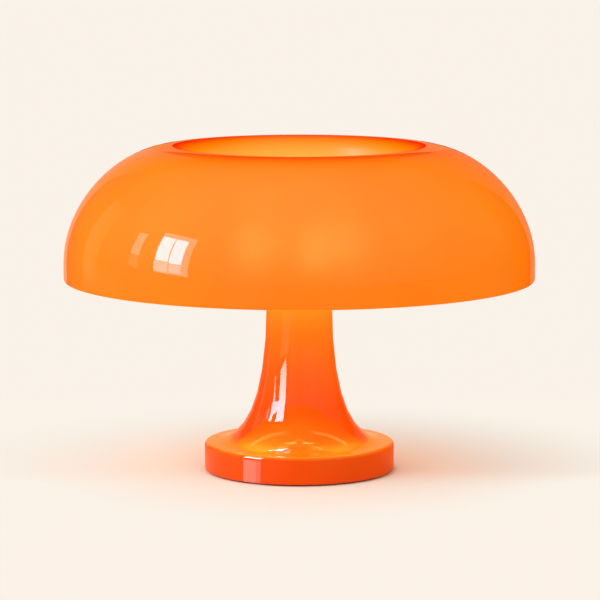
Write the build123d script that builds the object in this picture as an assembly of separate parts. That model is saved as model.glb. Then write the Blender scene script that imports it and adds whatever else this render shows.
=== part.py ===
from build123d import *
import os
from math import cos, radians, sin, tan

# Mushroom table lamp, in millimetres. The origin is the middle of the face that the lamp stands on,
# +Z is up, the front is -Y and the cord leaves the foot at the back, +Y.

# Shade: a dome with an upright skirt, which rolls over at its crest into an open bowl. It is one
# moulding, given as three solids that touch: the dome with its crest, the wall of the bowl and its floor.
shade_diameter = 320.0
overall_height = 222.3
shade_height = 90.6
shade_wall = 3.0
skirt_height = 11.6
crest_diameter = 171.8
dome_fullness = 0.507
roll_radius = 12.0
bowl_draft = 12.0
bowl_depth = 38.8
bowl_corner = 22.0

# Pedestal: a flared stem and a round foot with an upright band, moulded in one and given as two solids
# that touch: the flare with its roof and bosses, and the band
base_diameter = 129.6
pedestal_wall = 3.0
shadow_gap = 1.0
band_top = 19.7
band_edge = 2.5
stem_diameter = 44.7
dish_drop = 14.7
flare_rise = 1.0
flare_reach = 0.28

# Foot: rubber ring, base plate, ballast and the screws that close it
foot_proud = 1.2
foot_groove = 1.5
foot_width = 8.0
foot_inset = 3.3
plate_thickness = 3.0
plate_gap = 0.5
ballast_lift = 1.3
ballast_thickness = 10.0
ballast_gap = 4.8
hub_diameter = 28.0
hub_rise = 2.5
boss_count = 3
boss_diameter = 14.0
boss_pin_diameter = 9.0
boss_inset = 20.8
plate_screw_diameter = 4.0
plate_screw_head = 8.0
plate_screw_grip = 9.8
screw_slack = 0.05
hole_slack = 0.5

# Cord inlet, clamp and terminal block
cord_diameter = 6.0
cord_slack = 0.3
grommet_neck = 9.8
grommet_flange = 11.8
grommet_lip = 1.4
clamp_width = 22.0
clamp_length = 7.0
clamp_half_height = 5.2
clamp_parting = 0.2
clamp_inset = 10.5
clamp_screw_diameter = 3.0
clamp_screw_spacing = 14.0
terminal_width = 18.0
terminal_length = 13.0
terminal_height = 10.0
terminal_pitch = 8.0
terminal_barrel = 6.0
terminal_bore = 3.0
terminal_screw = 2.6
terminal_shift = 2.5

# Threaded centre tube with its nuts and washers
tube_diameter = 10.0
tube_bore = 8.0
tube_slack = 0.4
nut_flats = 14.0
nut_height = 5.0
thin_nut_height = 3.0
washer_diameter = 20.0
washer_thickness = 1.5
tube_slot_width = 6.8
tube_slot_length = 15.0
tube_lift = 1.0
tube_cover = 1.0
nut_recess = 1.0

# Lamp dish, spacer column and seat of the shade
dish_thickness = 2.0
dish_margin = 11.4
dish_rim = 8.0
vent_circle = 77.0
vent_width = 6.0
vent_sweep = 25.0
column_diameter = 26.0
column_wall = 2.5
column_flange = 44.0
column_flange_thickness = 3.0
column_web = 2.5
column_slot = 12.0
column_slot_height = 26.0
seat_thickness = 2.2
seat_bore = 28.0

# Lampholders for capsule lamps with two pin loops
lamp_count = 4
lamp_circle = 69.2
first_lamp_angle = -162.0
holder_width = 18.0
holder_length = 14.0
holder_height = 15.0
flange_width = 32.0
flange_length = 10.0
flange_thickness = 3.0
holder_screw_spacing = 26.0
holder_screw_diameter = 3.0
pin_pitch = 9.0
pin_loop_width = 2.6
pin_wire = 0.8
pin_length = 9.0
socket_depth = 10.0
socket_slack = 0.5
contact_thickness = 0.5

# Capsule lamps
lamp_stand_off = 0.3
cap_block_width = 15.0
cap_block_length = 10.0
cap_block_height = 3.7
cap_disc_height = 3.0
envelope_diameter = 16.5
envelope_height = 26.0
envelope_wall = 0.8
envelope_round = 6.5
board_width = 9.0
board_thickness = 1.2
board_height = 20.0
chip_rows = 5

# Fixing of the shade: washer, brass insert and fluted cap nut
cap_washer_diameter = 22.0
cap_washer_thickness = 1.0
cap_diameter = 26.0
cap_height = 10.5
cap_roof = 2.5
cap_flutes = 12
insert_flats = 14.0
insert_slack = 0.05
thread_slack = 0.05

# Wiring
wire_diameter = 1.8
wire_entry_slack = 0.4
jumper_inner_radius = 21.0
live_jumper_height = 2.5
neutral_jumper_height = 6.0
lead_entry_height = 10.0

# Radii and heights worked out from the sizes above
shade_radius = shade_diameter / 2
crest_radius = crest_diameter / 2
rim_height = overall_height - shade_height
stem_top = rim_height - dish_drop
skirt_top = rim_height + skirt_height
floor_top = overall_height - bowl_depth
floor_bottom = floor_top - shade_wall
base_radius = base_diameter / 2
stem_radius = stem_diameter / 2
inner_base_radius = base_radius - pedestal_wall
plate_bottom = foot_proud
plate_top = plate_bottom + plate_thickness
plate_radius = inner_base_radius - plate_gap
foot_outer = plate_radius - foot_inset
foot_inner = foot_outer - foot_width
ballast_bottom = plate_top + ballast_lift
ballast_top = ballast_bottom + ballast_thickness
ballast_radius = inner_base_radius - ballast_gap
hub_radius = hub_diameter / 2
hub_top = ballast_top + hub_rise
boss_circle = base_radius - boss_inset
inlet_height = (shadow_gap + band_top) / 2
clamp_middle = ballast_radius - clamp_inset
clamp_front = clamp_middle - clamp_length / 2
terminal_middle = (hub_radius + clamp_front) / 2 + terminal_shift
terminal_front = terminal_middle - terminal_length / 2
terminal_back = terminal_middle + terminal_length / 2
terminal_axis = ballast_top + terminal_height / 2
tube_radius = tube_diameter / 2
tube_bottom = plate_top + tube_lift
lower_nut_bottom = ballast_bottom + nut_recess
lower_nut_top = lower_nut_bottom + nut_height
lower_washer_top = lower_nut_top + washer_thickness
dish_bottom = stem_top
dish_top = dish_bottom + dish_thickness
upper_washer_top = dish_top + washer_thickness
upper_nut_top = upper_washer_top + nut_height
seat_bottom = floor_bottom - seat_thickness
column_web_top = seat_bottom - thin_nut_height
lamp_radius = lamp_circle / 2
dish_radius = lamp_radius + dish_margin
holder_top = dish_top + holder_height
lamp_bottom = holder_top + lamp_stand_off
cap_shoulder = lamp_bottom + cap_block_height + cap_disc_height
cap_bottom = floor_top + cap_washer_thickness
cap_top = cap_bottom + cap_height
insert_top = cap_top - cap_roof
tube_top = insert_top - tube_cover
lamp_angles = [first_lamp_angle + turn * 360 / lamp_count for turn in range(lamp_count)]
boss_angles = [-90 + turn * 360 / boss_count for turn in range(boss_count)]


# Helpers ------------------------------------------------------------------------------------------

def disc(radius, bottom, top, x=0, y=0):
    """Upright cylinder between two heights."""
    drum = Cylinder(radius, top - bottom, align=(Align.CENTER, Align.CENTER, Align.MIN))
    return Pos(x, y, bottom) * drum


def ring(outer, inner, bottom, top, x=0, y=0):
    """Upright tube between two heights."""
    return disc(outer, bottom, top, x, y) - disc(inner, bottom - 1, top + 1, x, y)


def block(width, length, bottom, top, x=0, y=0):
    """Upright box, width along X and length along Y."""
    brick = Box(width, length, top - bottom, align=(Align.CENTER, Align.CENTER, Align.MIN))
    return Pos(x, y, bottom) * brick


def hexagon(flats, bottom, top, x=0, y=0):
    """Upright six-sided bar, sized across its flats."""
    outline = RegularPolygon(flats / 2, 6, major_radius=False)
    return Pos(x, y, bottom) * extrude(outline, top - bottom)


def rod_along_y(radius, start, end, x, z):
    """Lying cylinder along Y."""
    rod = Cylinder(radius, end - start, align=(Align.CENTER, Align.CENTER, Align.MIN))
    return Pos(x, start, z) * Rot(-90, 0, 0) * rod


def turned(outline):
    """Solid of revolution about Z from a closed outline of radius and height."""
    return revolve(Plane.XZ * make_face(outline), Axis.Z)


def on_circle(radius, angle):
    """Point at a radius and an angle from +X."""
    return radius * cos(radians(angle)), radius * sin(radians(angle))


def at_lamp(solid, angle):
    """Carry a solid from the axis, with +X pointing outwards, to a lamp's place."""
    return Rot(0, 0, angle) * Pos(lamp_radius, 0, 0) * solid


# Shade --------------------------------------------------------------------------------------------

def shade_line(depth):
    """Half outline of the shade at a depth under its showing face, from the rim to the tube hole."""
    side = shade_radius - depth
    crest = overall_height - depth
    floor = floor_top - depth
    swell = dome_fullness * (side - crest_radius)
    rise = dome_fullness * (crest - skirt_top)
    skirt = Line((side, rim_height + shade_wall / 2), (side, skirt_top))
    dome_end = (crest_radius, crest)
    dome = Bezier((side, skirt_top), (side, skirt_top + rise), (crest_radius + swell, crest), dome_end)
    roll_middle = (crest_radius, overall_height - roll_radius)
    roll = CenterArc(roll_middle, roll_radius - depth, 90, 90 - bowl_draft)
    draft = radians(bowl_draft)
    corner_radius = bowl_corner + depth
    wall_start = roll @ 1
    wall_length = (wall_start.Y - floor - corner_radius * (1 - sin(draft))) / cos(draft)
    wall_end = (wall_start.X - wall_length * sin(draft), wall_start.Y - wall_length * cos(draft))
    corner_middle = (wall_end[0] - corner_radius * cos(draft), floor + corner_radius)
    wall = Line(wall_start, wall_end)
    corner = CenterArc(corner_middle, corner_radius, -bowl_draft, bowl_draft - 90)
    flat = Line(corner @ 1, (tube_radius + tube_slack, floor))
    return [skirt, dome, roll, wall, corner, flat]


def shade_ring(first, last, start=None):
    """Wall of the shade between two runs of its outline, cut square unless its start is given."""
    face_line = shade_line(0)[first:last]
    back_line = shade_line(shade_wall)[first:last]
    start = start or Line(face_line[0] @ 0, back_line[0] @ 0)
    end = Line(face_line[-1] @ 1, back_line[-1] @ 1)
    return turned([start, *face_line, end, *back_line])


def make_shade():
    """Skirt with its round rim, dome and rolled crest."""
    half = shade_wall / 2
    outside = (shade_radius, rim_height + half)
    inside = (shade_radius - shade_wall, rim_height + half)
    rim = ThreePointArc(outside, (shade_radius - half, rim_height), inside)
    return shade_ring(0, 3, rim)


def make_shade_bowl():
    """Drafted wall of the bowl and the round corner at its foot."""
    return shade_ring(3, 5)


def make_shade_floor():
    """Flat floor of the bowl, with a hole for the tube."""
    return shade_ring(5, 6)


# Pedestal -----------------------------------------------------------------------------------------

def pedestal_fill(depth, bottom):
    """Solid inside of the pedestal, set in from its showing side by a depth."""
    corner = max(band_edge - depth, 0.2)
    side = base_radius - depth
    stem = stem_radius - depth
    ledge = band_top - depth
    growth = depth * 0.55
    rise = flare_rise * (stem_top - band_top) + growth
    reach = flare_reach * (base_radius - band_edge - stem_radius) + growth
    foot = (side - corner, ledge)
    slant = corner * (1 - cos(radians(45)))
    lid = Line((0, stem_top), (stem, stem_top))
    flare = Bezier((stem, stem_top), (stem, stem_top - rise), (foot[0] - reach, ledge), foot)
    edge = ThreePointArc(foot, (side - slant, ledge - slant), (side, ledge - corner))
    band = Line((side, ledge - corner), (side, bottom))
    sole = Line((side, bottom), (0, bottom))
    axis = Line((0, bottom), (0, stem_top))
    return turned([lid, flare, edge, band, sole, axis])


def make_pedestal_shell():
    """Flared shell with a roof that the tube passes through and screw bosses for the base plate."""
    roof_bottom = stem_top - pedestal_wall
    cavity = pedestal_fill(pedestal_wall, shadow_gap - 1) - disc(stem_radius, roof_bottom, stem_top + 1)
    shell = pedestal_fill(0, shadow_gap) - cavity
    within = pedestal_fill(pedestal_wall / 2, shadow_gap)
    bore = plate_screw_diameter / 2 + screw_slack
    for angle in boss_angles:
        x, y = on_circle(boss_circle, angle)
        boss = disc(boss_diameter / 2, ballast_top, band_top + boss_diameter, x, y) & within
        pin = disc(boss_pin_diameter / 2, plate_top, ballast_top + 1, x, y)
        shell += boss + pin
        shell -= disc(bore, plate_top - 1, plate_top + plate_screw_grip + 0.5, x, y)
    shell -= disc(tube_radius + tube_slack, roof_bottom - 1, stem_top + 1)
    return shell - band_space()


def band_space():
    """Room of the band, under the edge of the flare."""
    return ring(base_radius + 1, inner_base_radius, 0, band_top - pedestal_wall)


def make_pedestal_band():
    """Upright band under the edge of the flare, with a round hole for the cord's grommet."""
    inlet = grommet_neck / 2 + screw_slack
    band = pedestal_fill(0, shadow_gap) & band_space()
    return band - rod_along_y(inlet, inner_base_radius - 1, base_radius + 1, 0, inlet_height)


# Foot ---------------------------------------------------------------------------------------------

def make_ballast():
    """Cast-iron disc with a hub, a recess for the lower nut, boss holes and a slot for the cord."""
    weight = disc(ballast_radius, ballast_bottom, ballast_top)
    weight = chamfer(weight.edges().group_by(Axis.Z)[-1] + weight.edges().group_by(Axis.Z)[0], 1.0)
    weight += disc(hub_radius, ballast_top - 1, hub_top)
    weight -= disc(tube_radius + tube_slack, ballast_bottom - 1, hub_top + 1)
    weight -= disc(washer_diameter / 2 + hole_slack, ballast_bottom - 1, lower_washer_top)
    for angle in boss_angles:
        x, y = on_circle(boss_circle, angle)
        weight -= disc(boss_pin_diameter / 2 + hole_slack, ballast_bottom - 1, ballast_top + 1, x, y)
    slot_start = terminal_back + hole_slack
    slot_end = ballast_radius + 1
    slot_width = clamp_width + 4
    weight -= block(slot_width, slot_end - slot_start, ballast_bottom - 1, ballast_top + 1, 0,
                    (slot_start + slot_end) / 2)
    return weight


def make_base_plate():
    """Steel plate that closes the foot, grooved for the rubber ring and countersunk for its screws."""
    plate = disc(plate_radius, plate_bottom, plate_top)
    plate -= ring(foot_outer, foot_inner, plate_bottom - 1, plate_bottom + foot_groove)
    for angle in boss_angles:
        x, y = on_circle(boss_circle, angle)
        plate -= disc(plate_screw_diameter / 2 + hole_slack / 2, plate_bottom - 1, plate_top + 1, x, y)
        plate -= countersink(x, y)
    for x in (-clamp_screw_spacing / 2, clamp_screw_spacing / 2):
        hole = clamp_screw_diameter / 2 + screw_slack
        plate -= disc(hole, plate_bottom + 0.5, plate_top + 1, x, clamp_middle)
    return plate


def countersink(x, y):
    """Cone of a countersunk head, flush with the underside of the base plate."""
    head = plate_screw_head / 2
    shank = plate_screw_diameter / 2
    cone = Cone(head, shank, head - shank, align=(Align.CENTER, Align.CENTER, Align.MIN))
    return Pos(x, y, plate_bottom) * cone


def make_base_plate_screws():
    """Countersunk screws, driven from below into the bosses."""
    screws = []
    for angle in boss_angles:
        x, y = on_circle(boss_circle, angle)
        shank = disc(plate_screw_diameter / 2, plate_bottom, plate_top + plate_screw_grip, x, y)
        socket = hexagon(plate_screw_diameter / 2, plate_bottom - 1, plate_bottom + 1.4, x, y)
        screws.append(countersink(x, y) + shank - socket)
    return Compound(children=screws)


def make_foot_ring():
    """Rubber ring that the lamp stands on, pressed into the groove of the base plate."""
    rubber = ring(foot_outer - screw_slack, foot_inner + screw_slack, 0, plate_bottom + foot_groove)
    return chamfer(rubber.edges().group_by(Axis.Z)[0], 0.4)


def make_cord_grommet():
    """Flanged rubber sleeve in the back of the band, shaped to the round wall inside and out."""
    flange = grommet_flange / 2
    outer_end = base_radius + grommet_lip
    inner_end = inner_base_radius - grommet_lip
    front = rod_along_y(flange, inner_base_radius, outer_end, 0, inlet_height)
    front -= disc(base_radius + screw_slack, 0, band_top)
    back = rod_along_y(flange, inner_end, base_radius, 0, inlet_height)
    back &= disc(inner_base_radius - screw_slack, 0, band_top)
    sleeve = rod_along_y(grommet_neck / 2, inner_end, outer_end, 0, inlet_height) + front + back
    return sleeve - rod_along_y(cord_diameter / 2 + cord_slack, inner_end - 1, outer_end + 1, 0, inlet_height)


def clamp_half(bottom, top):
    """Half of the cord clamp, with its half of the cord channel and the two screw holes."""
    half = block(clamp_width, clamp_length, bottom, top, 0, clamp_middle)
    start = clamp_middle - clamp_length
    half -= rod_along_y(cord_diameter / 2, start, start + 2 * clamp_length, 0, inlet_height)
    for x in (-clamp_screw_spacing / 2, clamp_screw_spacing / 2):
        half -= disc(clamp_screw_diameter / 2 + screw_slack, bottom - 1, top + 1, x, clamp_middle)
    return half


def make_cord_clamp_seat():
    """Lower half of the clamp, standing on the base plate."""
    return clamp_half(plate_top, inlet_height - clamp_parting / 2)


def make_cord_clamp_bar():
    """Upper half of the clamp."""
    return clamp_half(inlet_height + clamp_parting / 2, inlet_height + clamp_half_height)


def make_cord_clamp_screws():
    """Two pan-head screws through both halves into the base plate."""
    seat = inlet_height + clamp_half_height
    screws = []
    for x in (-clamp_screw_spacing / 2, clamp_screw_spacing / 2):
        shank = disc(clamp_screw_diameter / 2, plate_bottom + 0.8, seat, x, clamp_middle)
        head = disc(clamp_screw_diameter, seat, seat + 1.6, x, clamp_middle)
        slot = block(0.7, 2 * clamp_screw_diameter + 1, seat + 0.9, seat + 2, x, clamp_middle)
        screws.append(shank + head - slot)
    return Compound(children=screws)


def make_terminal_block():
    """Two-way connector body with a bore for each barrel and a well over each screw."""
    top = ballast_top + terminal_height
    body = block(terminal_width, terminal_length, ballast_top, top, 0, terminal_middle)
    body = fillet(body.edges().filter_by(Axis.Z), 1.2)
    for x in terminal_poles():
        bore = terminal_barrel / 2 + screw_slack
        body -= rod_along_y(bore, terminal_front - 1, terminal_back + 1, x, terminal_axis)
        for y in terminal_screw_places():
            body -= disc(terminal_screw / 2 + 0.3, terminal_axis, top + 1, x, y)
    return body


def terminal_poles():
    """X of the two poles."""
    return (-terminal_pitch / 2, terminal_pitch / 2)


def terminal_screw_places():
    """Y of the two screws of a pole."""
    return (terminal_middle - terminal_length / 4, terminal_middle + terminal_length / 4)


def make_terminal_barrels():
    """Brass barrels, bored for the conductors and tapped for the screws."""
    tapping = terminal_screw / 2 + screw_slack
    barrels = []
    for x in terminal_poles():
        barrel = rod_along_y(terminal_barrel / 2, terminal_front + 0.5, terminal_back - 0.5, x, terminal_axis)
        barrel -= rod_along_y(terminal_bore / 2, terminal_front, terminal_back, x, terminal_axis)
        for y in terminal_screw_places():
            barrel -= disc(tapping, terminal_axis, terminal_axis + terminal_barrel, x, y)
        barrels.append(barrel)
    return Compound(children=barrels)


def make_terminal_screws():
    """Slotted grub screws of the barrels."""
    bottom = terminal_axis + terminal_bore / 2
    top = bottom + 2.8
    screws = []
    for x in terminal_poles():
        for y in terminal_screw_places():
            slot = block(0.5, terminal_screw + 1, top - 0.7, top + 1, x, y)
            screws.append(disc(terminal_screw / 2, bottom, top, x, y) - slot)
    return Compound(children=screws)


# Spine --------------------------------------------------------------------------------------------

def side_slot(bottom):
    """Window in the back wall of the tube, where the leads pass."""
    middle = bottom + tube_slot_length / 2
    window = Box(tube_slot_width, tube_diameter, tube_slot_length)
    return Pos(0, tube_radius, middle) * fillet(window.edges().filter_by(Axis.Y), tube_slot_width / 2 - 0.5)


def make_centre_tube():
    """Tie tube from the foot to the cap nut, with a window for the leads at each end."""
    tube = ring(tube_radius, tube_bore / 2, tube_bottom, tube_top)
    tube = chamfer(tube.edges().group_by(Axis.Z)[-1].sort_by(SortBy.LENGTH)[-1], 0.5)
    return tube - side_slot(hub_top + 14) - side_slot(upper_nut_top + 1)


def washer_at(bottom):
    """Washer on the tube."""
    return ring(washer_diameter / 2, tube_radius + thread_slack, bottom, bottom + washer_thickness)


def nut_at(bottom, height):
    """Hexagon nut on the tube, with rounded corners."""
    nut = hexagon(nut_flats, bottom, bottom + height)
    nut &= turned(nut_outline(bottom, height))
    return nut - disc(tube_radius + thread_slack, bottom - 1, bottom + height + 1)


def nut_outline(bottom, height):
    """Barrel that takes the sharp corners off a nut."""
    corner = nut_flats / 2 / cos(radians(30))
    face = nut_flats / 2
    top = bottom + height
    lower = [(0, bottom), (face, bottom), (corner, bottom + 0.6)]
    upper = [(corner, top - 0.6), (face, top), (0, top)]
    return Polyline(*lower, *upper, close=True)


# Head ---------------------------------------------------------------------------------------------

def make_lamp_dish():
    """Pressed steel dish with an upturned rim, drilled for tube and screws, with a vent between lamps."""
    dish = disc(dish_radius, dish_bottom, dish_top)
    dish += ring(dish_radius, dish_radius - dish_thickness, dish_bottom, dish_top + dish_rim)
    dish = fillet(dish.edges().group_by(Axis.Z)[0], 1.0)
    dish -= disc(tube_radius + tube_slack, dish_bottom - 1, dish_top + 1)
    hole = holder_screw_diameter / 2 + screw_slack
    for angle in lamp_angles:
        for y in holder_screw_places():
            dish -= at_lamp(disc(hole, dish_bottom - 1, dish_top + 1, 0, y), angle)
        dish -= Pos(0, 0, dish_bottom - 1) * extrude(vent_outline(angle), dish_thickness + 2)
    return dish


def vent_outline(angle):
    """Slot with round ends along an arc, half way from the lamp at an angle to the next one."""
    middle = angle + 180 / lamp_count
    arc = CenterArc((0, 0), vent_circle / 2, middle - vent_sweep / 2, vent_sweep)
    return SlotArc(arc, vent_width)


def holder_screw_places():
    """Places of a lampholder's two screws across its flange."""
    return (-holder_screw_spacing / 2, holder_screw_spacing / 2)


def pin_places():
    """Places of a lamp's two pin loops across its base."""
    return (-pin_pitch / 2, pin_pitch / 2)


def make_column():
    """Spacer column with a wide top flange that carries the shade, open at the back for the leads."""
    radius = column_diameter / 2
    flange_bottom = seat_bottom - column_flange_thickness
    web_bottom = column_web_top - column_web
    column = disc(radius, dish_top, seat_bottom)
    column += disc(column_flange / 2, flange_bottom, seat_bottom)
    column -= disc(radius - column_wall, dish_top - 1, web_bottom)
    column -= disc(radius - column_wall, column_web_top, seat_bottom + 1)
    column -= disc(tube_radius + tube_slack, web_bottom - 1, seat_bottom)
    slot_top = dish_top + column_slot_height
    slot = block(column_slot, radius, dish_top - 1, slot_top, 0, radius)
    return column - slot


def make_seat_ring():
    """Silicone ring between the column's flange and the underside of the bowl."""
    return ring(column_flange / 2, seat_bore / 2, seat_bottom, floor_bottom)


def make_lampholder(angle):
    """Ceramic lampholder with a flange, two pin sockets and wire entries on the side of the column."""
    body = block(holder_length, holder_width, dish_top, holder_top)
    body = fillet(body.edges().filter_by(Axis.Z), 2.5)
    body += block(flange_length, flange_width, dish_top, dish_top + flange_thickness)
    screw_hole = holder_screw_diameter / 2 + screw_slack
    for y in holder_screw_places():
        body -= disc(screw_hole, dish_top - 1, dish_top + flange_thickness + 1, 0, y)
    wide = pin_loop_width + pin_wire + 2 * socket_slack
    deep = pin_wire + 2 * socket_slack
    for y in pin_places():
        body -= block(deep, wide, holder_top - socket_depth, holder_top + 1, 0, y)
        shelf = block(contact_thickness, wide, holder_top - socket_depth, holder_top + 1, contact_place(), y)
        body -= shelf
    entry = wire_diameter / 2 + wire_entry_slack
    inner_face = -holder_length / 2
    for y, height in ((-pin_pitch / 2, live_jumper_height), (pin_pitch / 2, neutral_jumper_height),
                      (-pin_pitch / 2, lead_entry_height), (pin_pitch / 2, lead_entry_height)):
        hole = Cylinder(entry, 4, rotation=(0, 90, 0))
        body -= Pos(inner_face, y, dish_top + height) * hole
    return at_lamp(body, angle)


def contact_place():
    """Middle of the contact leaf beside the pin loop."""
    return pin_wire / 2 + socket_slack + contact_thickness / 2


def make_holder_contacts():
    """Sprung contact leaves, two in each lampholder."""
    leaves = []
    bottom = holder_top - socket_depth
    for angle in lamp_angles:
        for y in pin_places():
            leaf = block(contact_thickness, pin_loop_width, bottom, holder_top - 1, contact_place(), y)
            leaves.append(at_lamp(leaf, angle))
    return Compound(children=leaves)


def make_lampholder_screws():
    """Pan-head screws, two through each lampholder into the tapped dish."""
    seat = dish_top + flange_thickness
    end = dish_bottom - 0.4
    screws = []
    for angle in lamp_angles:
        for y in holder_screw_places():
            head = disc(holder_screw_diameter * 0.9, seat, seat + 1.8, 0, y)
            slot = block(0.7, 2 * holder_screw_diameter, seat + 1.0, seat + 2, 0, y)
            screw = disc(holder_screw_diameter / 2, end, seat, 0, y) + head - slot
            screws.append(at_lamp(screw, angle))
    return Compound(children=screws)


# Capsule lamps ------------------------------------------------------------------------------------

def make_lamp_base(angle):
    """Plastic base: a narrow block over the pins, a round shoulder and a spigot for the envelope."""
    block_top = lamp_bottom + cap_block_height
    base = block(cap_block_length, cap_block_width, lamp_bottom, block_top)
    base = fillet(base.edges().filter_by(Axis.Z), 3.0)
    base += disc(envelope_diameter / 2, block_top, cap_shoulder)
    base += disc(envelope_diameter / 2 - envelope_wall - screw_slack, cap_shoulder, cap_shoulder + 2)
    return at_lamp(base, angle)


def make_lamp_envelope(angle):
    """Frosted envelope, open below and rounded at its top."""
    top = cap_shoulder + envelope_height
    outside = disc(envelope_diameter / 2, cap_shoulder, top)
    outside = fillet(outside.edges().group_by(Axis.Z)[-1], envelope_round)
    inside = disc(envelope_diameter / 2 - envelope_wall, cap_shoulder - 1, top - envelope_wall)
    inside = fillet(inside.edges().group_by(Axis.Z)[-1], envelope_round - envelope_wall)
    return at_lamp(outside - inside, angle)


def make_lamp_board(angle):
    """Circuit board that stands in the envelope, with rows of light-emitting chips on both faces."""
    bottom = cap_shoulder + 2
    board = block(board_thickness, board_width, bottom, bottom + board_height)
    pitch = board_height / (chip_rows + 1)
    over_chips = board_thickness + 1.4
    for row in range(chip_rows):
        chip_bottom = bottom + pitch * (row + 0.75)
        for y in (-board_width / 4, board_width / 4):
            board += block(over_chips, board_width / 4, chip_bottom, chip_bottom + pitch / 2, 0, y)
    return at_lamp(board, angle)


def make_lamp_pins(angle):
    """Two wire loops, each bent like a hairpin."""
    bend = pin_loop_width / 2
    low = lamp_bottom - pin_length
    loops = []
    for y in pin_places():
        left = (0, y - bend, lamp_bottom)
        right = (0, y + bend, lamp_bottom)
        turn = ThreePointArc((0, y - bend, low + bend), (0, y, low), (0, y + bend, low + bend))
        path = Line(left, turn @ 0) + turn + Line(turn @ 1, right)
        section = Plane(left, z_dir=(0, 0, -1)) * Circle(pin_wire / 2)
        loops.append(at_lamp(sweep(section, path=path), angle))
    return Compound(children=loops)


# Cap ----------------------------------------------------------------------------------------------

def make_cap_washer():
    """Soft washer between the floor of the bowl and the cap nut."""
    return ring(cap_washer_diameter / 2, tube_radius + tube_slack, floor_top, cap_bottom)


def make_cap_nut():
    """Fluted cap nut with a domed top and a six-sided pocket for its insert."""
    radius = cap_diameter / 2
    knob = disc(radius, cap_bottom, cap_top)
    knob = fillet(knob.edges().group_by(Axis.Z)[-1], 3.5)
    flute = radius * 0.16
    for turn in range(cap_flutes):
        x, y = on_circle(radius + flute * 0.45, turn * 360 / cap_flutes)
        knob -= disc(flute, cap_bottom - 1, cap_top + 1, x, y)
    return knob - hexagon(insert_flats + 2 * insert_slack, cap_bottom - 1, insert_top)


def make_cap_insert():
    """Brass insert that carries the thread of the cap nut."""
    insert = hexagon(insert_flats, cap_bottom, insert_top - insert_slack)
    return insert - disc(tube_radius + thread_slack, cap_bottom - 1, insert_top + 1)


# Wiring -------------------------------------------------------------------------------------------

def wire(points):
    """Insulated wire along straight runs joined by tangent arcs, as wide as the runs allow."""
    corners = [Vector(*point) for point in points]
    path = []
    here = corners[0]
    bends = []
    for before, corner, after in zip(corners, corners[1:], corners[2:]):
        inward = (before - corner).normalized()
        onward = (after - corner).normalized()
        half_turn = radians(180 - inward.get_angle(onward)) / 2
        reach = 0.45 * min((before - corner).length, (after - corner).length)
        bend = reach / tan(half_turn)
        bends.append(round(bend, 1))
        arc_start = corner + inward * reach
        arc_end = corner + onward * reach
        bisector = (inward + onward).normalized()
        arc_middle = corner + bisector * (bend / cos(half_turn) - bend)
        path.append(Line(here, arc_start))
        path.append(ThreePointArc(arc_start, arc_middle, arc_end))
        here = arc_end
    path.append(Line(here, corners[-1]))
    route = Wire(path)
    section = Plane(corners[0], z_dir=corners[1] - corners[0]) * Circle(wire_diameter / 2)
    solid = sweep(section, path=route)
    share = solid.volume / (route.length * section.area)
    print(f"wire of {route.length:.0f} mm, bends {bends}, volume against section times length {share:.4f}")
    return solid


def holder_entry(angle, radius, side, height):
    """Point in front of a lampholder's wire entry."""
    x, y = on_circle(radius, angle)
    across = side * pin_pitch / 2
    return x - across * sin(radians(angle)), y + across * cos(radians(angle)), dish_top + height


def make_lead(side):
    """Supply lead from the terminal block through the tube to the last lampholder."""
    angle = lamp_angles[-1]
    entry = lamp_radius - holder_length / 2
    inside = side * -1.4
    low = ballast_top + 37
    high = upper_nut_top - 7.5
    turn_aside = -1.8
    points = [
        (side * -terminal_pitch / 2, terminal_front + 1.5, terminal_axis),
        (side * -3.2, hub_radius + 1, terminal_axis + 1),
        (side * -2.2, 8.5, low - 22.5),
        (inside, 2.5, low - 11.5),
        (inside, 0, low),
        (inside, -0.6, (low + high) / 2),
        (inside, 0, high),
        (inside * 0.95, 3.5, high + 12),
        (inside * 1.3 + turn_aside, column_diameter / 2, high + 15.5),
        holder_entry(angle, entry - 5.6, side, lead_entry_height),
        holder_entry(angle, entry + 1, side, lead_entry_height),
    ]
    return wire(points)


def make_jumpers(side, height):
    """Wires of one pole from each lampholder to the next."""
    entry = lamp_radius - holder_length / 2
    wires = []
    for start, end in zip(lamp_angles, lamp_angles[1:]):
        points = [
            holder_entry(start, entry + 0.8, side, height),
            holder_entry(start, jumper_inner_radius, side, height),
            holder_entry(end, jumper_inner_radius, side, height),
            holder_entry(end, entry + 0.8, side, height),
        ]
        wires.append(wire(points))
    return Compound(children=wires)


# Assembly -----------------------------------------------------------------------------------------

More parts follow.
